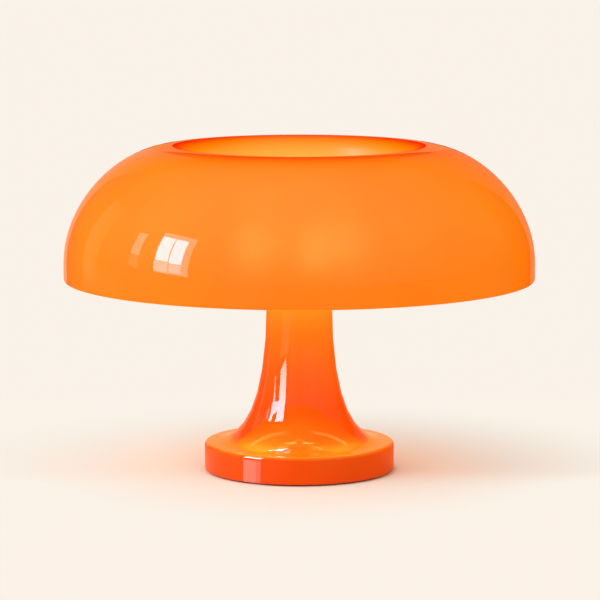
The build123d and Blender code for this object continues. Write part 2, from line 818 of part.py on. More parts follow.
def make_parts():
    """Every node of the lamp by name."""
    parts = {
        "shade": make_shade(),
        "shade_bowl": make_shade_bowl(),
        "shade_floor": make_shade_floor(),
        "pedestal_shell": make_pedestal_shell(),
        "pedestal_band": make_pedestal_band(),
        "ballast": make_ballast(),
        "base_plate": make_base_plate(),
        "base_plate_screws": make_base_plate_screws(),
        "foot_ring": make_foot_ring(),
        "cord_grommet": make_cord_grommet(),
        "cord_clamp_seat": make_cord_clamp_seat(),
        "cord_clamp_bar": make_cord_clamp_bar(),
        "cord_clamp_screws": make_cord_clamp_screws(),
        "terminal_block": make_terminal_block(),
        "terminal_barrels": make_terminal_barrels(),
        "terminal_screws": make_terminal_screws(),
        "centre_tube": make_centre_tube(),
        "lower_nut": nut_at(lower_nut_bottom, nut_height),
        "lower_washer": washer_at(lower_nut_top),
        "upper_washer": washer_at(dish_top),
        "upper_nut": nut_at(upper_washer_top, nut_height),
        "column_nut": nut_at(column_web_top, thin_nut_height),
        "lamp_dish": make_lamp_dish(),
        "column": make_column(),
        "seat_ring": make_seat_ring(),
        "holder_contacts": make_holder_contacts(),
        "lampholder_screws": make_lampholder_screws(),
        "lead_live": make_lead(-1),
        "lead_neutral": make_lead(1),
        "jumpers_live": make_jumpers(-1, live_jumper_height),
        "jumpers_neutral": make_jumpers(1, neutral_jumper_height),
        "cap_washer": make_cap_washer(),
        "cap_nut": make_cap_nut(),
        "cap_insert": make_cap_insert(),
    }
    for number, angle in enumerate(lamp_angles, start=1):
        parts[f"lampholder_{number}"] = make_lampholder(angle)
        parts[f"lamp_{number}_base"] = make_lamp_base(angle)
        parts[f"lamp_{number}_envelope"] = make_lamp_envelope(angle)
        parts[f"lamp_{number}_board"] = make_lamp_board(angle)
        parts[f"lamp_{number}_pins"] = make_lamp_pins(angle)
    return parts


os.makedirs("parts", exist_ok=True)
for name, solid in make_parts().items():
    export_step(solid, f"parts/{name}.step")
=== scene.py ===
# %% [markdown]
# # A mushroom table lamp, dressed in Blender
# The construction model gives every piece of the lamp at its real size: the shade and the foot,
# and inside them the ballast, the tube, the lampholders, the capsule lamps and the wires. This
# lesson adds what a construction model doesn't have: smooth turned mouldings, a finish on every
# surface, light, and a camera. Lengths are metres, +Z is up, and the front of the lamp faces -Y.

# %% Load the lamp
from math import cos, pi, radians, sin, tan

import bpy
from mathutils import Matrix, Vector


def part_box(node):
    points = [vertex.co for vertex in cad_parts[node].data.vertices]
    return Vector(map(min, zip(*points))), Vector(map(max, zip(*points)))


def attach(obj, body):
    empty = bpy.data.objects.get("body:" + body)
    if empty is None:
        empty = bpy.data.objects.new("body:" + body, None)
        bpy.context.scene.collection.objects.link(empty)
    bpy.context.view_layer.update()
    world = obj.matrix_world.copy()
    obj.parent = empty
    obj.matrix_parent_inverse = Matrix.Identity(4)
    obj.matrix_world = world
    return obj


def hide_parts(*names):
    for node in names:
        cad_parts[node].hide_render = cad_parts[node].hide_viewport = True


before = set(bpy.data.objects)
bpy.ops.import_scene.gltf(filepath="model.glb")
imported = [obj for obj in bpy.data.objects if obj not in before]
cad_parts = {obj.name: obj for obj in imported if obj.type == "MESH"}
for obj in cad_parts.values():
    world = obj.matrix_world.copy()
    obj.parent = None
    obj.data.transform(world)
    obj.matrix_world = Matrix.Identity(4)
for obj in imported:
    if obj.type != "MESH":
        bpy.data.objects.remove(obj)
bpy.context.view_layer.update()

MM = 0.001
print("nodes:", len(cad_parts))

# %% [markdown]
# ## The camera
# The photograph was taken from a little above the shade, from about two metres away with a long
# lens, so the shade's rim is a shallow curve and the bowl shows only as a thin crescent. A camera
# fitted to the lamp's outline gives the place, the tilt and the lens below. The lens is worked out
# from the size of the frame: how many of its 600 pixels one unit of slope covers.

# %% Camera
PHOTO_WIDTH = 600
PIXELS_PER_SLOPE = 3080.3
SENSOR_WIDTH = 36.0
CAMERA_PLACE = Vector((0.0005, -2.0799, 0.4021))
CAMERA_TILT = 7.815
FAR_CLIP = 50

bpy.ops.object.select_all(action="DESELECT")
bpy.ops.object.camera_add(location=CAMERA_PLACE, rotation=(radians(90 - CAMERA_TILT), 0, 0))
camera = bpy.context.object
camera.name = "photo_camera"
camera.data.sensor_width = SENSOR_WIDTH
camera.data.lens = SENSOR_WIDTH * PIXELS_PER_SLOPE / PHOTO_WIDTH
camera.data.clip_end = FAR_CLIP
bpy.context.scene.camera = camera
print(f"lens {camera.data.lens:.1f} mm")

# %% [markdown]
# ## Sums made of nodes
# A finish varies over a surface by rules such as "a little redder near the foot". In Blender each
# sum of such a rule is a node. The class below wraps one socket, so that a rule can be written as
# ordinary Python: `1 - height * 2` adds two Math nodes and links them. Any other node comes from
# the method `node`, which takes its type, its settings and the values or links of its sockets.

# %% A socket that can be reckoned with
class Wire:
    """One output of a node, which adds Math nodes when it is reckoned with."""

    def __init__(self, tree, socket):
        self.tree = tree
        self.socket = socket

    def node(self, kind, settings=None, sockets=None, output=0):
        """Add a node, set it up, fill or link its sockets and return one of its outputs."""
        made = self.tree.nodes.new(kind)
        settings = dict(settings or {})
        stops = settings.pop("stops", None)
        for name, setting in settings.items():
            setattr(made, name, setting)
        if stops:
            place_stops(made.color_ramp, stops)
        for name, value in (sockets or {}).items():
            if isinstance(value, Wire):
                self.tree.links.new(value.socket, made.inputs[name])
            else:
                made.inputs[name].default_value = value
        return Wire(self.tree, made.outputs[output])

    def math(self, operation, left, right=0.0):
        return self.node("ShaderNodeMath", {"operation": operation}, {0: left, 1: right})

    def __add__(self, other):
        return self.math("ADD", self, other)

    def __sub__(self, other):
        return self.math("SUBTRACT", self, other)

    def __mul__(self, other):
        return self.math("MULTIPLY", self, other)

    def __truediv__(self, other):
        return self.math("DIVIDE", self, other)

    def __pow__(self, other):
        return self.math("POWER", self, other)

    def __rsub__(self, other):
        return self.math("SUBTRACT", other, self)

    def absolute(self):
        """This value without its sign."""
        return self.math("ABSOLUTE", self)

    def smooth(self, start, end, low=0.0, high=1.0):
        """Go smoothly from low to high while this value goes from start to end."""
        settings = {"interpolation_type": "SMOOTHSTEP"}
        sockets = {"Value": self, "From Min": start, "From Max": end, "To Min": low, "To Max": high}
        return self.node("ShaderNodeMapRange", settings, sockets)

    def mix(self, first, second):
        """Colour between two colours, with this value as the share of the second."""
        sockets = {0: self, 6: first, 7: second}
        return self.node("ShaderNodeMix", {"data_type": "RGBA"}, sockets, output=2)

    def tinted(self, colour):
        """A colour of linear light as bright as this value."""
        return self.node("ShaderNodeVectorMath", {"operation": "SCALE"}, {0: colour, "Scale": self})

    def scaled(self, amount):
        """This colour made brighter or darker by a value."""
        return self.node("ShaderNodeVectorMath", {"operation": "SCALE"}, {0: self, "Scale": amount})

    def plus(self, other):
        """This colour with another one added to it."""
        return self.node("ShaderNodeVectorMath", {"operation": "ADD"}, {0: self, 1: other})

    def clamped(self):
        """This value, a Math node's result, kept between 0 and 1."""
        self.socket.node.use_clamp = True
        return self


def place_stops(ramp, stops):
    """Give a colour ramp its stops, each a place and a colour."""
    while len(ramp.elements) < len(stops):
        ramp.elements.new(0.5)
    for element, (place, colour) in zip(ramp.elements, stops):
        element.position = place
        element.color = colour


def srgb(red, green, blue):
    """Colour as a picture editor shows it, 0 to 255, turned into the linear light of a shader."""

    def linear(share):
        return share / 12.92 if share <= 0.04045 else ((share + 0.055) / 1.055) ** 2.4

    return (*(linear(channel / 255) for channel in (red, green, blue)), 1.0)


print("orange in linear light:", [round(channel, 3) for channel in srgb(253, 143, 43)])

# %% [markdown]
# ## A material and where its surface is
# Every finish here starts in the same way: a material, its Principled shader, and the place of
# each point in the lamp's own space. The class `Finish` keeps these together. Object coordinates
# are used, because the lamp's pieces all have their origin at the foot, so a rule such as "near
# the rim" means the same on each of them.

# %% Start a finish
class Finish:
    """A material with its Principled shader, its surface coordinates and shorthands for them."""

    def __init__(self, name, **sockets):
        self.material = bpy.data.materials.new(name)
        self.material.use_nodes = True
        self.tree = self.material.node_tree
        self.shader = self.tree.nodes["Principled BSDF"]
        self.output = self.tree.nodes["Material Output"]
        coordinates = self.tree.nodes.new("ShaderNodeTexCoord")
        self.place = Wire(self.tree, coordinates.outputs["Object"])
        self.set(**sockets)

    def set(self, **sockets):
        """Set or link sockets of the shader; Base_Color stands for Base Color."""
        for name, value in sockets.items():
            socket = self.shader.inputs[name.replace("_", " ")]
            if isinstance(value, Wire):
                self.tree.links.new(value.socket, socket)
            else:
                socket.default_value = value

    def axes(self):
        """X, Y and Z of the place, each as a value."""
        parts = self.place.node("ShaderNodeSeparateXYZ", {}, {0: self.place})
        outputs = parts.socket.node.outputs
        return [Wire(self.tree, outputs[index]) for index in range(3)]

    def noise(self, scale, detail=2.0):
        """Cloudy noise, 0 to 1, with a scale in lumps per metre."""
        sockets = {"Vector": self.place, "Scale": scale, "Detail": detail}
        return self.place.node("ShaderNodeTexNoise", {}, sockets)

    def bump(self, height, distance, rounding=0.0):
        """Turn a height into a surface normal, with edges softened by a rounding radius."""
        sockets = {"Height": height, "Distance": distance, "Strength": 1.0}
        if rounding:
            bevel = self.place.node("ShaderNodeBevel", {"samples": 4}, {"Radius": rounding})
            sockets["Normal"] = bevel
        return self.place.node("ShaderNodeBump", {}, sockets)


print("finish helper ready")

# %% [markdown]
# ## Joined shaders
# Some surfaces need more than the Principled shader. Two small functions help with that: one mixes
# two shaders by a share, and the other makes a shader that only shines.

# %% Mix and shine
def blend_shaders(tree, share, first, second):
    """Mix Shader between two shader outputs; share is the part of the second, fixed or linked."""
    join = tree.nodes.new("ShaderNodeMixShader")
    if isinstance(share, Wire):
        tree.links.new(share.socket, join.inputs[0])
    else:
        join.inputs[0].default_value = share
    tree.links.new(first, join.inputs[1])
    tree.links.new(second, join.inputs[2])
    return join.outputs[0]


def shining(tree, colour):
    """Emission shader with a linked colour."""
    lamp = tree.nodes.new("ShaderNodeEmission")
    tree.links.new(colour.socket, lamp.inputs["Color"])
    return lamp.outputs[0]


print("shader helpers ready")

# %% [markdown]
# ## The orange mouldings
# The shade and the pedestal are glossy mouldings in milky, translucent orange plastic. Light from
# the capsule lamps fills them, so they glow by themselves: yellow inside and in the bowl, orange
# over the dome, and less and redder down the stem, partly because the light has further to go and
# partly as painted light that fades away from the lit shade above it. Round the ledge of the foot a
# painted pool of the lamps' light is added. At the rolled crest a deep red line runs round the
# bowl: partly the light passing along the wall instead of through it, partly painted shade along
# the edge of the roll.
#
# The shader has a part for each of these: a diffuse orange body, an emission colour that follows
# the height, and a clear coat that mirrors the room. On the dome and the pedestal the emission is
# also painted lighter at the left, where the studio light falls, and at both sides; in the bowl it
# is painted darker at both sides, painted shade. On the side of the lamps most of the body is
# clear plastic, and the dome lets a small share of blurred light through, so the lamps show as
# soft spots. The bowl has a softer coat, so no window shows in it. The glow is written as linear
# light: red, green and blue at a height in mm.

# %% Finish of the orange mouldings
NO_LIGHT = (0.0, 0.0, 0.0)
PLASTIC_IOR = 1.49
SIDE = 100 * MM
CLOUD_SCALE = 16.0
GRAIN_SCALE = 1400.0
GRAIN_DEPTH = 0.004 * MM
LAMP_SHARE = 0.04
LAMP_BLUR = 0.28


def orange_plastic(name, glow_at, aside=NO_LIGHT, spread=NO_LIGHT, clearness=0.0, roughness=0.3):
    """Milky orange plastic.

    glow_at is its inner light by height. aside is painted light: what the left, where the studio
    light falls, has more of it at 100 mm from the middle. spread is what both sides have more of it
    there, painted light where it is positive and painted shade where it is negative. Clearness is
    the share of clear plastic in the milk, and roughness blurs what shows through.
    """
    plastic = Finish(name, Roughness=roughness, IOR=PLASTIC_IOR, Specular_IOR_Level=0.0)
    plastic.set(Transmission_Weight=clearness, Coat_Weight=1.0, Coat_Roughness=0.02, Coat_IOR=1.5)
    x, _, z = plastic.axes()
    low, high = glow_at[0][0], glow_at[-1][0]
    share = z.smooth(low * MM, high * MM)
    share.socket.node.interpolation_type = "LINEAR"
    stops = [((height - low) / (high - low), (*light, 1.0)) for height, light in glow_at]
    glow = share.node("ShaderNodeValToRGB", {"stops": stops}, {"Fac": share})
    side = x / SIDE
    # Painted light at the left, where the studio light falls, and at both sides a painted change:
    # lighter for a positive amount, darker for a negative one.
    glow = glow.plus((side * -1).tinted(aside)).plus((side * side).tinted(spread))
    cloud = plastic.noise(CLOUD_SCALE, detail=3.0)
    glow = glow.scaled(cloud.smooth(0.3, 0.7, 0.98, 1.02))
    deep, pale = ((255, 184, 104), (255, 192, 114)) if clearness else ((247, 74, 4), (250, 80, 7))
    plastic.set(Base_Color=cloud.smooth(0.3, 0.7).mix(srgb(*deep), srgb(*pale)))
    plastic.set(Emission_Color=glow, Emission_Strength=1.0)
    plastic.set(Normal=plastic.bump(plastic.noise(GRAIN_SCALE), GRAIN_DEPTH))
    return plastic


def let_lamps_through(plastic, share):
    """Let a small share of light pass the wall, blurred, so that the lamps show as soft spots."""
    through = plastic.tree.nodes.new("ShaderNodeBsdfRefraction")
    through.inputs["Color"].default_value = (1.0, 0.95, 0.9, 1.0)
    through.inputs["Roughness"].default_value = LAMP_BLUR
    through.inputs["IOR"].default_value = PLASTIC_IOR
    surface = blend_shaders(plastic.tree, share, plastic.shader.outputs[0], through.outputs[0])
    plastic.tree.links.new(surface, plastic.output.inputs["Surface"])


# Near the top the glow falls to deep red: partly light that runs along the rolled wall, partly
# painted shade along the edge of the roll.
dome_glow = [
    (131.7, (0.34, 0.142, 0.004)),
    (145, (0.34, 0.146, 0.005)),
    (154, (0.34, 0.152, 0.005)),
    (163, (0.34, 0.158, 0.006)),
    (180, (0.34, 0.170, 0.007)),
    (199, (0.34, 0.174, 0.008)),
    (208, (0.34, 0.180, 0.009)),
    (214, (0.34, 0.182, 0.009)),
    (218.5, (0.33, 0.170, 0.005)),
    (220.5, (0.32, 0.125, 0.002)),
    (221.3, (0.29, 0.085, 0.0)),
    (222.3, (0.18, 0.0, 0.0)),
]
# The bowl's glow falls to the same deep red at the crest, partly painted shade along the edge of the
# roll.
bowl_glow = [
    (180.5, (0.60, 0.400, 0.055)),
    (205, (0.60, 0.392, 0.051)),
    (209, (0.60, 0.375, 0.046)),
    (212.5, (0.58, 0.335, 0.038)),
    (216, (0.54, 0.265, 0.020)),
    (219.3, (0.48, 0.180, 0.002)),
    (220.6, (0.40, 0.115, 0.0)),
    (221.6, (0.30, 0.050, 0.0)),
    (222.3, (0.18, 0.0, 0.0)),
]
inner_glow = [
    (131.7, (0.18, 0.120, 0.004)),
    (150, (0.22, 0.170, 0.010)),
    (180, (0.25, 0.220, 0.030)),
    (222.3, (0.25, 0.220, 0.030)),
]
# The stem's glow fades downwards, partly painted light from the lit shade above; from 18.6 to 24.5
# mm it rises again, a painted pool of the lamps' light on the ledge.
pedestal_glow = [
    (0, (0.0, 0.006, 0.0)),
    (17, (0.0, 0.013, 0.0)),
    (18.6, (0.06, 0.070, 0.0)),
    (19.6, (0.12, 0.160, 0.004)),
    (22, (0.16, 0.140, 0.004)),
    (24.5, (0.18, 0.065, 0.002)),
    (28, (0.20, 0.034, 0.0)),
    (36, (0.22, 0.040, 0.0)),
    (44, (0.23, 0.034, 0.001)),
    (52, (0.24, 0.048, 0.003)),
    (66, (0.26, 0.070, 0.004)),
    (79, (0.28, 0.102, 0.004)),
    (88, (0.30, 0.124, 0.004)),
    (98, (0.32, 0.152, 0.005)),
    (108, (0.34, 0.202, 0.007)),
    (117, (0.36, 0.252, 0.009)),
]
# The dome and the pedestal are painted lighter at the left, where the studio light falls, and at
# both sides; the bowl is painted darker at both sides, painted shade at the ends of its mouth.
dome_plastic = orange_plastic("dome_orange", dome_glow, (0.0, 0.008, 0.0), (0.0, 0.019, 0.0))
let_lamps_through(dome_plastic, LAMP_SHARE)
bowl_plastic = orange_plastic("bowl_orange", bowl_glow, spread=(0.0, -0.11, -0.05))
bowl_plastic.set(Coat_Roughness=0.35, Coat_Weight=0.5)
inner_plastic = orange_plastic("inner_orange", inner_glow, clearness=0.9, roughness=0.34)
pedestal_plastic = orange_plastic("pedestal_orange", pedestal_glow,
                                  aside=(0.04, 0.0, 0.0), spread=(0.30, 0.03, 0.0))
dome_orange, bowl_orange = dome_plastic.material, bowl_plastic.material
inner_orange, pedestal_orange = inner_plastic.material, pedestal_plastic.material
oranges = (dome_orange, bowl_orange, inner_orange, pedestal_orange)
print("orange finishes:", ", ".join(finish.name for finish in oranges))

# %% [markdown]
# ## Turning a moulding
# Both mouldings are bodies of revolution, so each is made as a potter would: one closed outline of
# the wall is drawn in radius and height, then spun round the axis. The outline is a Bezier curve,
# which holds arcs and long sweeps in few points. Arcs of up to a quarter turn are drawn with two
# handles of the usual length, four thirds of the tangent of a quarter of the turn.

# %% Outline and spin
SMOOTH_ANGLE = radians(50)
SAME_PLACE = 0.001 * MM
NO_GAP = 1e-6


class Outline:
    """Closed outline of radius and height in millimetres, kept as the knots of a Bezier curve."""

    def __init__(self, radius, height):
        self.knots = [[(radius, height)] * 3]

    def end(self):
        return self.knots[-1][1]

    def curve(self, leave, arrive, point):
        """Bezier sweep: the two handles and the end point."""
        self.knots[-1][2] = leave
        self.knots.append([arrive, point, point])
        return self

    def line(self, radius, height):
        """Straight run."""
        r, z = self.end()
        third = ((radius - r) / 3, (height - z) / 3)
        leave = (r + third[0], z + third[1])
        arrive = (radius - third[0], height - third[1])
        return self.curve(leave, arrive, (radius, height))

    def arc(self, middle, turn):
        """Arc round a middle point by a turn in degrees, positive from +R towards +Z."""
        r, z = self.end()
        dr, dz = r - middle[0], z - middle[1]
        reach = 4 / 3 * tan(radians(turn) / 4)
        c, s = cos(radians(turn)), sin(radians(turn))
        er, ez = dr * c - dz * s, dr * s + dz * c
        point = (middle[0] + er, middle[1] + ez)
        leave = (r - reach * dz, z + reach * dr)
        arrive = (point[0] + reach * ez, point[1] - reach * er)
        return self.curve(leave, arrive, point)

    def close(self):
        """Join the last knot to the first."""
        first, last = self.knots[0], self.knots[-1]
        if abs(first[1][0] - last[1][0]) + abs(first[1][1] - last[1][1]) < NO_GAP:
            first[0] = last[0]
            self.knots.pop()
            return self
        start = first[1]
        r, z = self.end()
        third = ((start[0] - r) / 3, (start[1] - z) / 3)
        last[2] = (r + third[0], z + third[1])
        first[0] = (start[0] - third[0], start[1] - third[1])
        return self


def turned(name, outline, steps=192, fineness=10):
    """Draw a closed outline as a Bezier curve, make it a mesh and spin it round the axis."""
    bpy.ops.object.select_all(action="DESELECT")
    bpy.ops.curve.primitive_bezier_curve_add(location=(0, 0, 0))
    drawn = bpy.context.object
    drawn.name = name
    drawn.data.dimensions = "3D"
    drawn.data.resolution_u = fineness
    spline = drawn.data.splines[0]
    spline.use_cyclic_u = True
    spline.bezier_points.add(len(outline.knots) - len(spline.bezier_points))
    for knot, (left, point, right) in zip(spline.bezier_points, outline.knots):
        knot.handle_left_type = knot.handle_right_type = "FREE"
        knot.co = (point[0] * MM, 0, point[1] * MM)
        knot.handle_left = (left[0] * MM, 0, left[1] * MM)
        knot.handle_right = (right[0] * MM, 0, right[1] * MM)
    bpy.ops.object.convert(target="MESH")
    piece = bpy.context.object
    bpy.ops.object.mode_set(mode="EDIT")
    bpy.ops.mesh.select_all(action="SELECT")
    bpy.ops.mesh.spin(steps=steps, angle=2 * pi, center=(0, 0, 0), axis=(0, 0, 1))
    bpy.ops.mesh.select_all(action="SELECT")
    bpy.ops.mesh.remove_doubles(threshold=SAME_PLACE)
    bpy.ops.mesh.normals_make_consistent(inside=False)
    bpy.ops.object.mode_set(mode="OBJECT")
    bpy.ops.object.shade_smooth_by_angle(angle=SMOOTH_ANGLE)
    print(f"{name}: {len(piece.data.polygons)} faces")
    return piece


# %% [markdown]
# ## The shade
# The shade rises from a round rim as an upright skirt, closes in as a dome, rolls over at its
# crest and falls into a bowl with a flat floor. Its wall is 3 mm thick all over. The outline goes
# up the outside to the tube hole and comes back along the inside: the same curves, set in by the
# wall.

# %% Model the shade
shade_low, shade_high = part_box("shade")
SHADE_RADIUS = shade_high[0] / MM
RIM_HEIGHT = shade_low[2] / MM
CREST_HEIGHT = shade_high[2] / MM
WALL = 3.0
SKIRT_TOP = RIM_HEIGHT + 11.6
CREST_RADIUS = 85.9
DOME_FULLNESS = 0.507
ROLL_RADIUS = 12.0
BOWL_DRAFT = 12.0
BOWL_FLOOR = CREST_HEIGHT - 38.8
BOWL_CORNER = 22.0
TUBE_HOLE = 5.4


def bowl_knots(depth):
    """Bowl at a depth under its showing face: start and end of its wall, middle of its corner."""
    draft = radians(BOWL_DRAFT)
    roll = ROLL_RADIUS - depth
    corner = BOWL_CORNER + depth
    start = (CREST_RADIUS - roll * cos(draft), CREST_HEIGHT - ROLL_RADIUS + roll * sin(draft))
    length = (start[1] - (BOWL_FLOOR - depth) - corner * (1 - sin(draft))) / cos(draft)
    end = (start[0] - length * sin(draft), start[1] - length * cos(draft))
    middle = (end[0] - corner * cos(draft), BOWL_FLOOR - depth + corner)
    return start, end, middle


def shade_outline():
    """Wall of the shade: up the outside, over the crest, into the bowl and back underneath."""
    outer_rise = DOME_FULLNESS * (CREST_HEIGHT - SKIRT_TOP)
    outer_swell = DOME_FULLNESS * (SHADE_RADIUS - CREST_RADIUS)
    inner_rise = DOME_FULLNESS * (CREST_HEIGHT - WALL - SKIRT_TOP)
    inner_swell = DOME_FULLNESS * (SHADE_RADIUS - WALL - CREST_RADIUS)
    roll_middle = (CREST_RADIUS, CREST_HEIGHT - ROLL_RADIUS)
    start, end, middle = bowl_knots(0)
    inner_start, _, inner_middle = bowl_knots(WALL)
    inner_side = SHADE_RADIUS - WALL
    line = Outline(SHADE_RADIUS, RIM_HEIGHT + WALL / 2)
    line.line(SHADE_RADIUS, SKIRT_TOP)
    line.curve((SHADE_RADIUS, SKIRT_TOP + outer_rise), (CREST_RADIUS + outer_swell, CREST_HEIGHT),
               (CREST_RADIUS, CREST_HEIGHT))
    line.arc(roll_middle, 90 - BOWL_DRAFT)
    line.line(*end)
    line.arc(middle, BOWL_DRAFT - 90)
    line.line(TUBE_HOLE, BOWL_FLOOR)
    line.line(TUBE_HOLE, BOWL_FLOOR - WALL)
    line.line(inner_middle[0], BOWL_FLOOR - WALL)
    line.arc(inner_middle, 90 - BOWL_DRAFT)
    line.line(*inner_start)
    line.arc(roll_middle, BOWL_DRAFT - 90)
    line.curve((CREST_RADIUS + inner_swell, CREST_HEIGHT - WALL),
               (inner_side, SKIRT_TOP + inner_rise), (inner_side, SKIRT_TOP))
    line.line(inner_side, RIM_HEIGHT + WALL / 2)
    line.arc((SHADE_RADIUS - WALL / 2, RIM_HEIGHT + WALL / 2), 180)
    return line.close()


shade = turned("shade_moulding", shade_outline(), steps=224, fineness=20)
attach(shade, "shade")
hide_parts("shade", "shade_bowl", "shade_floor")

# %% [markdown]
# One moulding, three glows: the dome outside, the bowl, and the side that faces the lamps. Each
# face is given its finish by where it lies and which way it looks. Inside the crest's radius a
# face that looks up belongs to the bowl, outside it a face that looks away from the axis belongs
# to the dome, and all the others look at the lamps.

# %% Share out the finishes of the shade
for finish in (dome_orange, bowl_orange, inner_orange):
    shade.data.materials.append(finish)


def shade_side(face):
    """Number of the finish for a face of the shade: 0 dome, 1 bowl, 2 inside."""
    radius = Vector((face.center.x, face.center.y)).length
    outward = (face.normal.x * face.center.x + face.normal.y * face.center.y) / radius
    if radius < CREST_RADIUS * MM:
        return 1 if face.normal.z > 0.01 else 2
    at_rim = face.center.z < (RIM_HEIGHT + WALL / 2) * MM
    return 0 if outward > 0 and face.normal.z > -0.01 or at_rim else 2


counts = [0, 0, 0]
for face in shade.data.polygons:
    face.material_index = shade_side(face)
    counts[face.material_index] += 1
print("faces of dome, bowl and inside:", counts)

# %% [markdown]
# ## The pedestal
# The pedestal is a hollow flare that ends in an upright band. Its outline runs from the roof of
# the stem down the flare, round the small edge radius and down the band, and back inside. The band
# has a hole at the back for the grommet, cut with a cylinder and a Boolean modifier.

# %% Model the pedestal
pedestal_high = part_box("pedestal_shell")[1]
BASE_RADIUS = pedestal_high[0] / MM
STEM_TOP = pedestal_high[2] / MM
BAND_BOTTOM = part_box("pedestal_band")[0][2] / MM
BAND_TOP = 19.7
BAND_EDGE = 2.5
STEM_RADIUS = 22.35
FLARE_REACH = 0.28
LIP = 0.6
HANDLE_GROWTH = 0.55
INLET_RADIUS = 4.95
DRILL_LENGTH = 14
DRILL_SIDES = 48


def pedestal_outline():
    """Whole wall of the pedestal, from the roof down the outside and back up the inside."""
    foot = BASE_RADIUS - BAND_EDGE
    fall = STEM_TOP - BAND_TOP
    reach = FLARE_REACH * (foot - STEM_RADIUS)
    inner_side = BASE_RADIUS - WALL
    inner_stem = STEM_RADIUS - WALL
    ledge = BAND_TOP - WALL
    growth = HANDLE_GROWTH * WALL
    line = Outline(TUBE_HOLE, STEM_TOP)
    line.line(STEM_RADIUS, STEM_TOP)
    line.curve((STEM_RADIUS, STEM_TOP - fall), (foot - reach, BAND_TOP), (foot, BAND_TOP))
    line.arc((foot, BAND_TOP - BAND_EDGE), -90)
    line.line(BASE_RADIUS, BAND_BOTTOM + LIP)
    line.arc((BASE_RADIUS - LIP, BAND_BOTTOM + LIP), -90)
    line.line(inner_side, BAND_BOTTOM)
    line.line(inner_side, ledge)
    line.curve((inner_side - reach - growth, ledge), (inner_stem, STEM_TOP - fall - growth),
               (inner_stem, STEM_TOP - WALL))
    line.line(TUBE_HOLE, STEM_TOP - WALL)
    return line.close()


pedestal = turned("pedestal_moulding", pedestal_outline())

grommet_low, grommet_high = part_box("cord_grommet")
inlet_height = (grommet_low[2] + grommet_high[2]) / 2
bpy.ops.object.select_all(action="DESELECT")
bpy.ops.mesh.primitive_cylinder_add(
    vertices=DRILL_SIDES, radius=INLET_RADIUS * MM, depth=DRILL_LENGTH * MM, rotation=(pi / 2, 0, 0),
    location=(0, (BASE_RADIUS - WALL / 2) * MM, inlet_height))
drill = bpy.context.object
bpy.ops.object.select_all(action="DESELECT")
pedestal.select_set(True)
bpy.context.view_layer.objects.active = pedestal
cut = pedestal.modifiers.new("inlet", "BOOLEAN")
cut.operation = "DIFFERENCE"
cut.object = drill
bpy.ops.object.modifier_apply(modifier="inlet")
bpy.data.objects.remove(drill, do_unlink=True)
bpy.ops.object.shade_smooth_by_angle(angle=SMOOTH_ANGLE)
print("pedestal after the inlet is cut:", len(pedestal.data.polygons), "faces")

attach(pedestal, "pedestal")
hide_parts("pedestal_shell", "pedestal_band")
pedestal.data.materials.append(pedestal_orange)

# %% [markdown]
# ## The capsule lamps
# The lamps are lit. Their envelopes are frosted, so they shine as soft white capsules, a little
# warmer towards the base, where the light has no chips behind it.

# %% Finish of the lamps
BASE_GLOW, BOARD_GLOW = 141 * MM, 150 * MM
LAMP_STRENGTH = 7.0


def frosted_envelope():
    """Frosted envelope that shines warm white, and warmer towards its base."""
    frosted = Finish("frosted_envelope", Base_Color=srgb(255, 244, 226), Roughness=0.5, IOR=1.45)
    glow_height = frosted.axes()[2].smooth(BASE_GLOW, BOARD_GLOW)
    grain = frosted.noise(900.0, detail=3.0)
    colour = glow_height.mix(srgb(255, 190, 110), srgb(255, 226, 176))
    frosted.set(Emission_Color=colour, Emission_Strength=LAMP_STRENGTH)
    frosted.set(Normal=frosted.bump(grain, 0.03 * MM))
    return frosted.material


envelope_finish = frosted_envelope()

# %% [markdown]
# ## Plain finishes
# The pieces under the shade and in the foot each have their own finish: white enamel on the dish
# and the column, unglazed ceramic lampholders, zinc-plated steel, brass, rubber and coloured wire.
# None of them is a single flat colour. Each has a small change of tone and a grain at its own
# scale.

# %% Plain finishes
EDGE_ROUNDING = 0.3 * MM


def plain(name, light, dark, roughness, grain, depth, metal=0.0, coat=0.0):
    """Finish with two tones, a varied roughness, and a grain of lumps per metre and depth in mm."""
    made = Finish(name, Metallic=metal, Coat_Weight=coat, Coat_Roughness=0.08)
    tone = made.noise(grain / 12, detail=3.0).smooth(0.35, 0.65)
    fine = made.noise(grain)
    varied = fine.smooth(0.3, 0.7, roughness * 0.85, roughness * 1.15)
    made.set(Base_Color=tone.mix(srgb(*dark), srgb(*light)), Roughness=varied)
    made.set(Normal=made.bump(fine, depth * MM, rounding=EDGE_ROUNDING))
    return made.material


